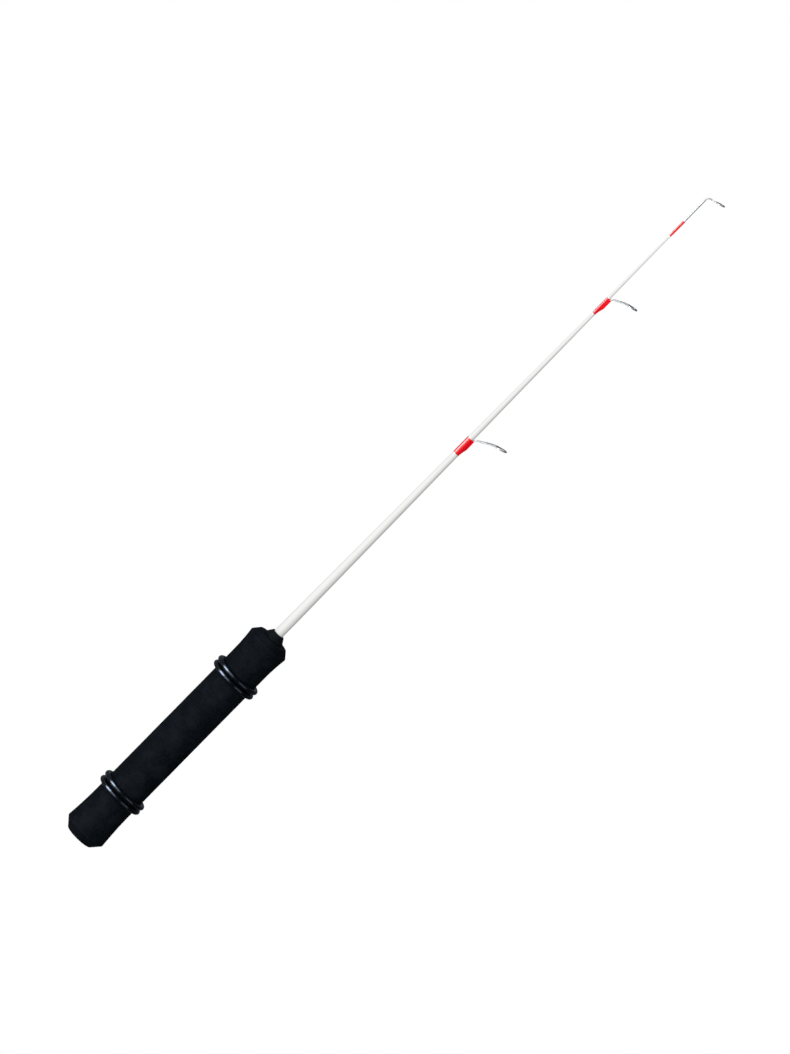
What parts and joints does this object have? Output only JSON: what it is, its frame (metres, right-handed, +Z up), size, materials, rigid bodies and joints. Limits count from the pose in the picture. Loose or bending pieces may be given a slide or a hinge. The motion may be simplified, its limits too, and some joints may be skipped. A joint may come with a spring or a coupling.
{
  "type": "ice fishing rod",
  "caption": "Short ice fishing rod: flared black foam grip with rubber reel rings, tapered off-white blank, red thread wraps, hanging wire line guides and a bent wire tip guide.",
  "frame": {"origin": "centre of the grip's flat butt face, on the rod's axis", "axes": "+X along the rod from butt to tip, +Z up, line guides hang toward -Z, XZ is the mirror plane"},
  "size_m": [0.6094, 0.0356, 0.0417],
  "materials": {
    "foam": "matte",
    "ring_rubber": "gloss",
    "glass_blank": "gloss",
    "masking_tape": "matte",
    "check_plastic": "satin",
    "wrap_thread": "satin",
    "wrap_finish": "gloss",
    "guide_steel": "satin",
    "guide_ceramic": "gloss"
  },
  "bodies": {
    "rod": {"blank": "glass_blank", "grip": "foam", "butt_plug": "foam", "rear_bushing": "masking_tape", "front_bushing": "masking_tape", "winding_check": "check_plastic", "lower_guide_frame": "guide_steel", "lower_guide_band": "guide_steel", "lower_guide_insert": "guide_ceramic", "lower_guide_thread": "wrap_thread", "lower_guide_finish": "wrap_finish", "upper_guide_frame": "guide_steel", "upper_guide_band": "guide_steel", "upper_guide_insert": "guide_ceramic", "upper_guide_thread": "wrap_thread", "upper_guide_finish": "wrap_finish", "tip_frame": "guide_steel", "tip_band": "guide_steel", "tip_insert": "guide_ceramic", "tip_thread": "wrap_thread", "tip_finish": "wrap_finish", "tip_tube": "guide_steel"},
    "rear_inner_ring": {"rear_ring_inner": "ring_rubber"},
    "rear_outer_ring": {"rear_ring_outer": "ring_rubber"},
    "front_inner_ring": {"front_ring_inner": "ring_rubber"},
    "front_outer_ring": {"front_ring_outer": "ring_rubber"}
  },
  "joints": [
    {"name": "rear_pair_slide", "type": "slide", "parent": "rod", "child": "rear_inner_ring", "axis": [1, 0, 0], "range_m": [-0.003, 0.045]},
    {"name": "rear_outer_slide", "type": "slide", "parent": "rear_inner_ring", "child": "rear_outer_ring", "axis": [-1, 0, 0], "range_m": [0, 0.005]},
    {"name": "front_pair_slide", "type": "slide", "parent": "rod", "child": "front_inner_ring", "axis": [-1, 0, 0], "range_m": [-0.003, 0.045]},
    {"name": "front_outer_slide", "type": "slide", "parent": "front_inner_ring", "child": "front_outer_ring", "axis": [1, 0, 0], "range_m": [0, 0.005]}
  ]
}
